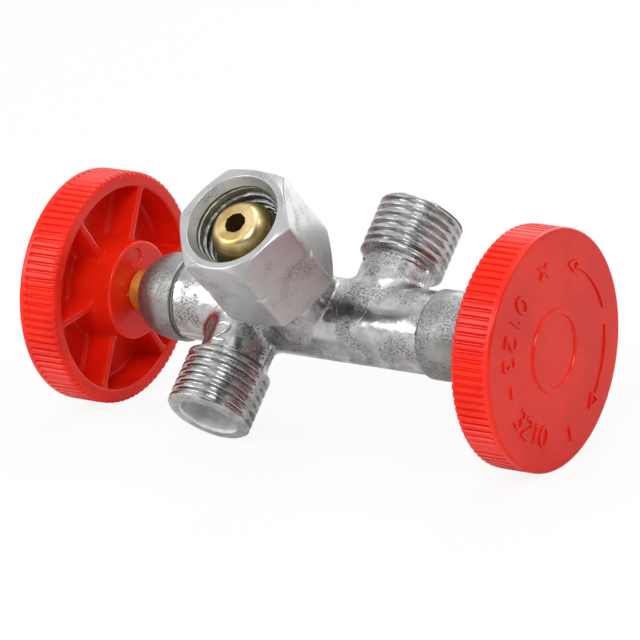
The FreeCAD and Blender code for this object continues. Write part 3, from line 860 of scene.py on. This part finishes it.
@dataclass
class UnionNut:
    """Hexagon union nut with corner chamfers, left-hand notch and inner thread."""

    across_flats: float = 17.0
    rear: float = 11.7
    length: float = 16.3
    face_r: float = 8.3
    chamfer_degrees: float = 30.0
    notch: float = 0.62
    mouth_r: float = 7.35
    mouth_depth: float = 1.5
    major_r: float = 6.5785
    minor_r: float = 5.7225
    crest_share: float = 0.28
    root_share: float = 0.72
    lead_degrees: float = 76.0
    pitch: float = 1.337
    row_gap: float = 0.075
    floor: float = 3.0
    relief: float = 1.6
    relief_r: float = 6.5825
    hole_r: float = 3.55
    corner_break: float = 0.25
    edge_break: float = 0.18
    columns: int = 288
    sharp_degrees: float = 35.0

    @property
    def face(self) -> float:
        """Where the nut's open face lies along its axis."""
        return self.rear + self.length

    @property
    def middle(self) -> float:
        """Where the notch lies along its axis."""
        return self.rear + self.length / 2

    def outer_radius(self, axial: Array, angles: Array) -> Array:
        """Radius of the outside: the hexagon, the chamfer cones and the notch, edges broken a little.

        Args:
            axial: distance along the nut's axis for each row.
            angles: angle of each column, corners at whole multiples of 60 degrees.

        Returns:
            (rows, columns) radii in mm.
        """
        sixth, corner = TURN / 6, self.across_flats / math.sqrt(3)
        hexagon = self.across_flats / 2 / np.cos(angles % sixth - sixth / 2)
        hexagon = blended(hexagon, np.full_like(hexagon, corner - 0.05), self.corner_break)
        from_end = np.minimum(axial - self.rear, self.face - axial)
        cone = self.face_r + from_end / math.tan(math.radians(self.chamfer_degrees))
        notch = corner - self.notch + np.abs(axial - self.middle)
        limit = np.minimum(cone, notch)[:, None]
        return blended(np.broadcast_to(hexagon, (len(axial), len(angles))), limit, self.edge_break)

    def inner_radius(self, axial: Array, angles: Array) -> Array:
        """Radius of the left-hand inner thread: grooves out of the minor radius, behind a lead-in cone."""
        groove = smooth(helix(axial, angles, self.pitch), self.crest_share, self.root_share)
        thread = self.minor_r + (self.major_r - self.minor_r) * groove
        inward = self.face - self.mouth_depth - axial
        lead = self.major_r - inward / math.tan(math.radians(self.lead_degrees))
        return np.maximum(thread, lead[:, None])

    def build(self) -> None:
        """Work out the nut as one closed tube: outside, face, thread, floor and shank hole."""
        angles = ring(self.columns) + TURN / 12
        bands = ((self.rear, self.rear + 1.6, 22), (self.rear + 1.75, self.middle - 1.25, 24),
                 (self.middle - 1.1, self.middle + 1.1, 24), (self.middle + 1.25, self.face - 1.75, 24),
                 (self.face - 1.6, self.face, 22))
        outer = np.concatenate([np.linspace(*band) for band in bands])
        floor_x, relief_end = self.rear + self.floor, self.rear + self.floor + self.relief
        thread = np.arange(self.face - self.mouth_depth, relief_end, -self.row_gap)
        mouth = eased([(self.face, self.face_r - 0.1, 0.0), (self.face, self.mouth_r, 0.12),
                       (self.face - self.mouth_depth + 0.02, self.major_r + 0.01, 0.0)])
        inside = eased([(relief_end, self.relief_r, 0.0), (floor_x, self.relief_r, 0.15),
                        (floor_x, self.hole_r, 0.1), (self.rear, self.hole_r, 0.1),
                        (self.rear, self.face_r - 0.1, 0.0)])
        profile = np.concatenate([points_of(outer, 0.0), mouth, points_of(thread, 0.0), inside])
        start = len(outer) + len(mouth)
        radius = np.repeat(profile[:, 1:], self.columns, axis=1)
        radius[:len(outer)] = self.outer_radius(outer, angles)
        radius[start:start + len(thread)] = self.inner_radius(thread, angles)
        inner = np.zeros(radius.shape, bool)
        inner[start:] = True
        shell = grid_shell(along_nut(lathe(profile, angles, radius)), True)
        make_piece("union_nut_body", [shell], Finish.NUT, "union_nut", "union_nut",
                   self.sharp_degrees, (Finish.HEADWORK, inner))


@dataclass
class Nipple:
    """Brass nipple: shank, band, ball nose with a flat tip, and the gas hole with its drilled edge."""

    shank_r: float = 3.3
    start: float = 6.8
    band: float = 1.0
    ball_r: float = 5.05
    tip: float = 27.0
    tip_r: float = 3.3
    tip_round: float = 0.45
    hole_r: float = 1.62
    burr: float = 0.035
    columns: int = 160

    def build(self) -> None:
        """Turn the nipple's closed section about the nut's axis, the hole's edge a little ragged."""
        ball = self.tip - math.sqrt(self.ball_r ** 2 - self.tip_r ** 2)
        flat_r = self.tip_r - self.tip_round
        nose = ball_arc(ball, self.ball_r, self.tip_r + self.tip_round)
        bend = parabola(nose[-1], np.array([self.tip, self.tip_r]), np.array([self.tip, flat_r]), 6)[1:]
        rest = eased([(self.tip, flat_r - 0.1, 0.0), (self.tip, self.hole_r, 0.08),
                      (self.start, self.hole_r, 0.0), (self.start, self.shank_r, 0.0),
                      (ball - self.band, self.shank_r, 0.1), (ball - self.band, self.ball_r, 0.25),
                      (ball - 0.02, self.ball_r, 0.0)])
        profile = np.concatenate([nose, bend, rest])
        angles = ring(self.columns)
        ragged = np.sin(5 * angles) + np.sin(9 * angles + 1) + np.sin(17 * angles + 2)
        edge = np.abs(profile[:, 1:] - self.hole_r) < 0.2
        radius = profile[:, 1:] + self.burr * edge * ragged[None]
        shell = grid_shell(along_nut(lathe(profile, angles, radius)), True)
        make_piece("ball_nipple", [shell], Finish.NIPPLE, "valve_body", "inlet_nipple")


@dataclass
class Headwork:
    """Domed collar and gasket at one end of the barrel."""

    seam: float = 22.1
    gasket: float = 0.3
    gasket_r: float = 6.3
    collar_r: float = 6.75
    ease_r: float = 6.6
    end: float = 29.8
    nose_r: float = 4.5
    inner: float = 15.0
    shank_r: float = 4.9
    bore_r: float = 3.55
    columns: int = 144

    def build(self, side: Side) -> None:
        """Turn both pieces about the barrel's axis."""
        start = self.seam + self.gasket
        dome = self.end - math.sqrt(self.collar_r ** 2 - self.nose_r ** 2)
        rest = eased([(self.end, self.nose_r - 0.05, 0.0), (self.end, self.bore_r + 0.2, 0.15),
                      (self.end - 0.3, self.bore_r, 0.05), (self.inner, self.bore_r, 0.0),
                      (self.inner, self.shank_r, 0.1), (start, self.shank_r, 0.0),
                      (start, self.ease_r, 0.08), (start + 0.15, self.collar_r, 0.1),
                      (dome - 0.02, self.collar_r, 0.0)])
        collar = np.concatenate([ball_arc(dome, self.collar_r, self.nose_r), rest])
        seal = eased([(self.seam, self.shank_r, 0.0), (self.seam, self.gasket_r, 0.05),
                      (start, self.gasket_r, 0.05), (start, self.shank_r, 0.0)], 2)
        for name, profile, finish, slot, node in (
                ("headwork_", collar, Finish.HEADWORK, "headwork_zinc", "bonnet_"),
                ("gasket_ring_", seal, Finish.FIBRE, "gasket_fibre", "bonnet_gasket_")):
            shell = side.turned(grid_shell(lathe(profile, ring(self.columns)), True))
            make_piece(name + side.word, [shell], finish, "valve_body", node + side.word)


@dataclass
class Spindle:
    """Brass spindle: tip, stop shoulder, grooves for two o-rings, stem and square."""

    radius: float = 3.5
    shoulder_r: float = 3.85
    tip_start: float = 9.1
    plug_back: float = 10.7
    tip_r: float = 1.4
    shoulder_face: float = 12.45
    groove_middles: tuple[float, float] = (22.5, 26.5)
    groove_width: float = 1.3
    neck_r: float = 3.2
    neck_start: float = 28.2
    stem_end: float = 32.75
    end_ease: float = 0.4
    square: float = 4.6
    square_length: float = 6.2
    columns: int = 96

    def build(self, side: Side) -> None:
        """Turn the stem, with a bright eased edge near the hub, and set the square on its end."""
        corners = [(self.tip_start, 0.0, 0.0), (self.tip_start, self.tip_r, 0.1),
                   (self.plug_back, self.tip_r, 0.05), (self.plug_back, self.radius - 0.1, 0.1),
                   (self.shoulder_face - 1.0, self.shoulder_r, 0.15),
                   (self.shoulder_face, self.shoulder_r, 0.1), (self.shoulder_face, self.radius, 0.05)]
        half, floor_r = self.groove_width / 2, self.radius - self.groove_width
        for middle in self.groove_middles:
            corners += [(middle - half, self.radius, 0.05), (middle - half, floor_r, 0.05),
                        (middle + half, floor_r, 0.05), (middle + half, self.radius, 0.05)]
        corners += [(self.neck_start, self.radius, 0.1), (self.neck_start, self.neck_r, 0.1),
                    (self.stem_end - self.end_ease, self.neck_r, 0.1),
                    (self.stem_end, self.neck_r - self.end_ease, 0.1), (self.stem_end, 0.0, 0.0)]
        core_r, corner_r = self.neck_r - 0.6, self.square / math.sqrt(2)
        first, last = self.stem_end + 0.05, self.stem_end + self.square_length
        bar = np.array([(self.stem_end - 0.2, 0.0), (self.stem_end - 0.2, core_r), (first, core_r),
                        (first, corner_r), (last, corner_r), (last, 0.0)])
        grids = [lathe(eased(corners), ring(self.columns)), lathe(bar, ring(4) + TURN / 8)]
        make_piece("stem_" + side.word, [side.turned(grid_shell(grid)) for grid in grids], Finish.SPINDLE,
                   "handwheel_" + side.word, "spindle_" + side.word)


@dataclass
class Handwheel:
    """Moulded wheel: face disc with bead and signs, grooved rim, hub and ribs."""

    radius: float = 18.0
    face: float = 42.2
    width: float = 6.6
    face_wall: float = 1.6
    rim_open_r: float = 15.75
    groove_count: int = 90
    groove_depth: float = 0.45
    # One groove's columns as shares of its step, how deep it is at each, and at each row of the rim.
    groove_offsets: tuple[float, ...] = (0.0, 0.09, 0.16, 0.26, 0.5, 0.74, 0.84, 0.91)
    groove_form: tuple[float, ...] = (1.0, 0.94, 0.45, 0.06, 0.0, 0.06, 0.45, 0.94)
    groove_run: tuple[float, ...] = (0.0, 0.8, 1.0, 1.0, 1.0, 1.0, 1.0, 0.85, 0.5, 0.15, 0.0)
    back_ease: float = 0.75
    front_band: float = 0.9
    edge_ease: float = 0.4
    hub_r: float = 7.6
    hub_face: float = 32.8
    socket: float = 4.6
    socket_end: float = 38.95
    mark_r: float = 1.4
    mark_depth: float = 0.3
    mark_edge: float = 0.14
    mark_reach: float = 5.3
    mark_degrees: float = -132.0
    rib_count: int = 6
    rib_thickness: float = 1.2
    rib_below_rim: float = 0.2
    rib_turn_degrees: float = -22.5
    rib_waist: float = 0.86
    rib_draft: float = 0.025
    crown_height: float = 0.08
    crown_width: float = 0.72
    wall_fillet: float = 1.0
    floor_fillet: float = 0.9
    fillet_share: float = 0.8
    sharp_degrees: float = 42.0
    bead_r: float = 6.3
    bead_width: float = 0.9
    bead_height: float = 0.3
    sign_width: float = 0.65
    sign_height: float = 0.28
    sign_spacing: float = 0.12
    arrow_width: float = 0.5
    arrow_head_width: float = 0.45
    plus_reach: float = 12.7
    plus_degrees: float = -56.0
    plus_arms: tuple[Point, Point] = ((1.75, 0.35), (-0.1, 1.5))
    # The minus sign and the dash: radii and angles of both ends, and the width.
    dashes: tuple[tuple[Point, Point, float], ...] = (
        ((12.6, 15.2), (120.8, 120.8), 0.7), ((12.25, 12.6), (-144.5, -154.5), 0.6))
    # Radii and angles of each arrow's ends, its tip's angle and half its head's width.
    arrows: tuple[tuple[Point, Point, float, float], ...] = (
        ((13.8, 12.9), (32.0, -15.0), -25.0, 0.95), ((13.8, 14.1), (43.0, 88.0), 97.0, 1.1))
    numerals: str = "01233210"
    numeral_degrees: tuple[float, ...] = (-88.5, -101.5, -115.5, -129.5, -172.0, -183.5, -195.0, -206.5)
    numeral_reach: float = 12.5
    numeral_height: float = 2.9
    numeral_width: float = 0.56
    numeral_spread: float = 1.2
    numeral_spacing: float = 0.1

    def section(self) -> tuple[Array, Array]:
        """Section from the face's middle over the rim and back to the hub's bore.

        Returns:
            (rows, 2) of axial place and radius, and the share of the groove's depth at each row.
        """
        back, floor, top = self.face - self.width, self.face - self.face_wall, self.face + self.bead_height
        bead_in = self.bead_r - self.bead_width
        disc = eased([(self.face, 0.0, 0.0), (self.face, bead_in, 0.05), (top, bead_in + 0.12, 0.1),
                      (top, self.bead_r - 0.12, 0.1), (self.face, self.bead_r, 0.05),
                      (self.face, self.radius * 2 / 3, 0.0), (self.face, self.radius, self.edge_ease),
                      (self.face - self.front_band, self.radius, 0.0)], 3)
        outer = np.array([(self.face - self.front_band - 0.18, self.radius),
                          (self.face - self.front_band - 0.4, self.radius),
                          (back + self.back_ease + 0.4, self.radius)])
        rest = eased([(back + self.back_ease + 0.2, self.radius, 0.0), (back, self.radius, self.back_ease),
                      (back, self.rim_open_r, 0.35), (floor, self.rim_open_r - 0.3, 0.6),
                      (floor, self.hub_r + 0.1, 0.6), (self.hub_face, self.hub_r, 0.45),
                      (self.hub_face, self.hub_r - 0.65, 0.0)], 3)
        reach = np.arange(self.hub_r - 0.7, self.socket * 0.75, -0.12)
        socket_r = self.socket / math.sqrt(2)
        bore = np.array([(self.hub_face, socket_r), (self.socket_end, socket_r), (self.socket_end, 0.0)])
        profile = np.concatenate([disc, outer, rest, points_of(self.hub_face, reach), bore])
        share = np.zeros(len(profile))
        share[len(disc) - 1:len(disc) - 1 + len(self.groove_run)] = self.groove_run
        return profile, share

    def body(self) -> Shell:
        """The wheel without ribs and signs, its hub's bore squared and the ejector's mark pressed in.

        A square's radius is its half side over the larger of |cos t| and |sin t|.  The mark moves
        points inwards where they lie within its radius, over a steep edge.

        Returns:
            A closed shell.
        """
        profile, share = self.section()
        step = TURN / self.groove_count
        angles = (np.arange(self.groove_count)[:, None] + np.array(self.groove_offsets)).ravel() * step
        form = np.tile(self.groove_form, self.groove_count)
        radius = profile[:, 1:] - self.groove_depth * share[:, None] * form[None]
        radius[-3:-1] = self.socket / 2 / np.maximum(np.abs(np.cos(angles)), np.abs(np.sin(angles)))
        points = lathe(profile, angles, radius)
        turn = math.radians(self.mark_degrees)
        away = np.hypot(points[..., 1] - self.mark_reach * math.sin(turn),
                        points[..., 2] - self.mark_reach * math.cos(turn))
        on_hub = np.abs(points[..., 0] - self.hub_face) < 1e-6
        points[..., 0] += self.mark_depth * smooth(self.mark_r - away, 0.0, self.mark_edge) * on_hub
        return grid_shell(points)

    def rib(self, turn: float) -> Shell:
        """One rib from hub to rim: a plate with drafted sides that flares into floor, hub and rim.

        Args:
            turn: angle of the rib about the wheel's axis.

        Returns:
            A closed shell.
        """
        back = self.face - self.width + self.rib_below_rim
        floor = self.face - self.face_wall / 2
        hub, rim = self.hub_r, self.rim_open_r
        reach = np.concatenate([[hub - 0.6], np.linspace(hub - 0.05, hub + 1.0, 8),
                                np.linspace(hub + 1.4, rim - 1.4, 4), np.linspace(rim - 1.0, rim + 0.2, 8),
                                [rim + 0.7]])
        depth = np.concatenate([np.linspace(back + 0.25, floor - 1.9, 5),
                                np.linspace(floor - 1.7, floor, 8)])

        def flare(gap: Array, size: float) -> Array:
            """How much wider a quarter-round fillet makes the rib at a gap from the wall it meets."""
            near = np.clip(1 - gap / size, 0, 1)
            return size * (1 - np.sqrt(1 - near ** 2)) * self.fillet_share

        walls = flare(reach - hub, self.wall_fillet) + flare(rim - reach, self.wall_fillet)
        feet = flare(self.face - self.face_wall - depth, self.floor_fillet) + self.rib_draft * (depth - back)
        half = self.rib_thickness / 2 * self.rib_waist + walls[:, None] + feet[None]
        crown_x = np.array([self.crown_height, 0.0, self.crown_height]) + back
        crown_y = half[:, :1] * np.array([self.crown_width, 0.0, -self.crown_width])
        x = np.concatenate([depth[::-1], crown_x, depth])
        y = np.concatenate([half[:, ::-1], crown_y, -half], axis=1)
        grid = points_of(x, y, reach[:, None])
        ends = [np.repeat(grid[i:i + 1].mean(axis=1, keepdims=True), len(x), axis=1) for i in (0, -1)]
        x, y, z = np.moveaxis(np.concatenate([ends[0], grid, ends[1]]), -1, 0)
        return grid_shell(points_of(x, y * math.cos(turn) - z * math.sin(turn),
                                    y * math.sin(turn) + z * math.cos(turn)))

    def on_face(self, radius: Array | float, degrees: Array | float) -> Array:
        """Points on the outer face, angles from +Z towards +Y."""
        angle = np.radians(degrees)
        return points_of(self.face, radius * np.sin(angle), radius * np.cos(angle))

    def stroke(self, radii: Sequence[float], degrees: Sequence[float], width: float) -> Shell:
        """Raised stroke on the face through points given by radius and angle."""
        path = dense(self.on_face(np.array(radii, float), np.array(degrees, float)), self.sign_spacing)
        return bead(path, OUTWARDS, width, self.sign_height)

    def numeral(self, key: str, degrees: float) -> list[Shell]:
        """Raised numeral on the face, its head towards the wheel's middle.

        Args:
            key: which numeral.
            degrees: its angle from +Z towards +Y.

        Returns:
            Closed shells of its strokes.
        """
        middle = self.on_face(self.numeral_reach, degrees)
        up = (self.face * OUTWARDS - middle) / self.numeral_reach
        right = np.array([0.0, up[2], -up[1]]) * self.numeral_spread
        shells = []
        for line in NUMERALS[key]:
            flat = np.array(line, float) * self.numeral_height
            path = dense(middle + flat[:, :1] * right + flat[:, 1:] * up, self.numeral_spacing)
            shells.append(bead(path, OUTWARDS, self.numeral_width, self.sign_height))
        return shells

    def arrow(self, radii: Point, degrees: Point, tip: float, half: float) -> list[Shell]:
        """Arc with a triangular head drawn in outline.

        Args:
            radii: radius where the arc starts and where it ends, at the head.
            degrees: angles of the same places.
            tip: angle of the head's point.
            half: half the width of the head's foot.

        Returns:
            Closed shells of its strokes.
        """
        reach, foot = radii[1], degrees[1]
        head = [(reach - half, foot), (reach, tip), (reach + half, foot)]
        arc = self.stroke(np.linspace(*radii, 12), np.linspace(*degrees, 12), self.arrow_width)
        return [arc] + [self.stroke(*zip(one, two), self.arrow_head_width)
                        for one, two in zip(head, head[1:] + head[:1])]

    def signs(self) -> list[Shell]:
        """Plus and minus signs, two arrows that point to them, a dash and plain numerals."""
        middle = self.on_face(self.plus_reach, self.plus_degrees)
        shells = []
        for across, up in self.plus_arms:
            arm = np.array([0.0, across, up])
            path = dense(np.array([middle - arm, middle + arm]), self.sign_spacing)
            shells.append(bead(path, OUTWARDS, self.sign_width, self.sign_height))
        shells += [self.stroke(*dash) for dash in self.dashes]
        for arrow in self.arrows:
            shells += self.arrow(*arrow)
        for key, degrees in zip(self.numerals, self.numeral_degrees):
            shells += self.numeral(key, degrees)
        return shells

    def build(self, side: Side) -> None:
        """Work out the wheel, its ribs and its raised signs as one moulding."""
        turns = math.radians(self.rib_turn_degrees) + ring(self.rib_count)
        shells = [self.body()] + [self.rib(turn) for turn in turns] + self.signs()
        make_piece("wheel_" + side.word, [side.turned(shell) for shell in shells], Finish.PLASTIC,
                   "handwheel_" + side.word, "handwheel_" + side.word, self.sharp_degrees)


@dataclass(frozen=True)
class HiddenPieces:
    """CAD nodes that stay as they are and only take a finish."""

    brass: tuple[str, ...] = ("nut_thrust_ring", "valve_plug_right", "valve_plug_left")
    rubber: tuple[str, ...] = ("nipple_seal", "seat_washer_right", "seat_washer_left",
                               "spindle_oring_inner_right", "spindle_oring_inner_left",
                               "spindle_oring_outer_right", "spindle_oring_outer_left")

    def build(self) -> None:
        """Give each node its finish."""
        for names, finish in ((self.brass, Finish.SPINDLE), (self.rubber, Finish.RUBBER)):
            for name in names:
                materials = frame["nodes"][name].data.materials
                materials.clear()
                materials.append(finish.material)
                LOG.info("%s: finish %s", name, finish.value.name)


@dataclass(frozen=True)
class Lamp:
    """Square soft lamp that faces the valve's middle: its place and edge in metres, its power in watts."""

    name: str
    place: Corner
    size: float
    power: float
    aim: Corner = (0.0, 0.0, 0.02)

    def build(self) -> None:
        """Place the lamp."""
        data = bpy.data.lights.new(self.name, "AREA")
        data.size, data.energy = self.size, self.power
        lamp = placed(self.name, data)
        lamp.location = self.place
        lamp.rotation_mode = "QUATERNION"
        lamp.rotation_quaternion = (Vector(self.place) - Vector(self.aim)).to_track_quat("Z", "Y")


@dataclass(frozen=True)
class Studio:
    """Camera at the photograph's angle, soft light, white surroundings and a pale floor."""

    aim_mm: Corner = (0.0, 5.04, 17.03)
    distance_mm: float = 694.8
    azimuth: float = 35.228
    elevation: float = 16.104
    roll: float = -2.688
    lens_mm: float = 260.61
    sensor_mm: float = 36.0
    clip: Point = (0.01, 10.0)
    fill: float = 0.36
    floor_r: float = 2.0
    floor_drop: float = 0.0002
    floor_white: float = 0.9
    card_distance: float = 1.3
    card_half: float = 1.2
    lamps: tuple[Lamp, ...] = (
        Lamp("key", (-0.55, -0.69, 0.47), 0.5, 3.8), Lamp("top", (0.0, 0.10, 0.9), 0.4, 1.6),
        Lamp("side", (0.30, -0.60, 0.55), 0.3, 3.5), Lamp("back", (-0.2, 0.6, 0.5), 0.4, 1.2),
        Lamp("right", (0.60, 0.20, 0.70), 0.2, 0.8), Lamp("low_back", (-0.02, 0.45, 0.04), 0.2, 0.24))

    def view(self) -> tuple[Vector, Vector, Vector]:
        """The level camera's directions to its right, up, and back from the object to the camera."""
        a, e = math.radians(self.azimuth), math.radians(self.elevation)
        back = Vector((math.sin(a) * math.cos(e), -math.cos(a) * math.cos(e), math.sin(e)))
        right = Vector((0, 0, 1)).cross(back).normalized()
        return right, back.cross(right), back

    def camera(self) -> None:
        """Place the camera: behind the aim point, level, then rolled."""
        data = bpy.data.cameras.new("camera")
        data.lens, data.sensor_width = self.lens_mm, self.sensor_mm
        data.clip_start, data.clip_end = self.clip
        right, up, back = self.view()
        turn = math.radians(self.roll)
        rolled = right * math.cos(turn) + up * math.sin(turn)
        matrix = Matrix([rolled, back.cross(rolled), back]).transposed().to_4x4()
        matrix.translation = Vector(self.aim_mm) * MM + back * self.distance_mm * MM
        camera = placed("camera", data)
        camera.matrix_world = matrix
        bpy.context.scene.camera = camera

    def world(self) -> None:
        """White for the camera and for reflections, a softer fill for everything else."""
        world = bpy.data.worlds.new("surroundings")
        bpy.context.scene.world = world
        tree = bare_tree(world)
        ray = add_node(tree, "LightPath")
        seen = ray.outputs["Is Camera Ray"]
        for kind in ("Is Glossy Ray", "Is Transmission Ray"):
            seen = add_node(tree, "Math", {0: seen, 1: ray.outputs[kind]}, operation="MAXIMUM").outputs[0]
        fill, white = (add_node(tree, "Background", values={"Color": linear(WHITE), "Strength": strength})
                       for strength in (self.fill, 1.0))
        mix = add_node(tree, "MixShader", {0: seen, 1: fill, 2: white})
        add_node(tree, "OutputWorld", {"Surface": mix})

    def pale_floor(self) -> bpy.types.Material:
        """Material of the floor, mostly white to the camera so that only a soft shadow shows."""
        material = bpy.data.materials.new("pale_floor")
        tree = bare_tree(material)
        ray = add_node(tree, "LightPath").outputs["Is Camera Ray"]
        matt = add_node(tree, "BsdfDiffuse", values={"Color": linear("F4F4F4")})
        white = add_node(tree, "Emission", values={"Color": linear(WHITE), "Strength": 1.0})
        share = add_node(tree, "Math", {0: ray}, {1: self.floor_white}, operation="MULTIPLY")
        mix = add_node(tree, "MixShader", {0: share, 1: matt, 2: white})
        add_node(tree, "OutputMaterial", {"Surface": mix})
        return material

    def sheet(self, name: str, outline: Sequence[Corner], material: bpy.types.Material) -> bpy.types.Object:
        """Flat piece of the stage.

        Args:
            name: its name.
            outline: its corners in metres.
            material: what it is made of.

        Returns:
            The new object.
        """
        mesh = bpy.data.meshes.new(name)
        mesh.from_pydata([tuple(corner) for corner in outline], [], [range(len(outline))])
        mesh.materials.append(material)
        sheet = placed(name, mesh)
        return sheet

    def build(self) -> None:
        """Set up the camera, the light, the floor and a dark card behind the camera.

        The card gives the metal something dark to mirror, and the camera doesn't see it.
        """
        self.camera()
        self.world()
        disc = points_of(self.floor_r * np.cos(ring(64)), self.floor_r * np.sin(ring(64)), -self.floor_drop)
        self.sheet("floor", disc, self.pale_floor())
        right, up, back = self.view()
        corners = [back * self.card_distance + (right * a + up * b) * self.card_half
                   for a, b in ((-1, -1), (1, -1), (1, 1), (-1, 1))]
        card = self.sheet("dark_card", corners, Surface("dark_card", "303030", "303030").build())
        card.visible_camera = False
        for lamp in self.lamps:
            lamp.build()
        bpy.context.scene.view_settings.view_transform = "Standard"


def main() -> None:
    """Build the studio and every piece in order."""
    logging.basicConfig(level=logging.INFO, format="%(message)s")
    for part in (Studio(), Casting(), UnionNut(), Nipple()):
        part.build()
    for side in Side:
        for part in (OutletEnd(), Headwork(), Spindle(), Handwheel()):
            part.build(side)
    HiddenPieces().build()


if __name__ == "__main__":
    main()
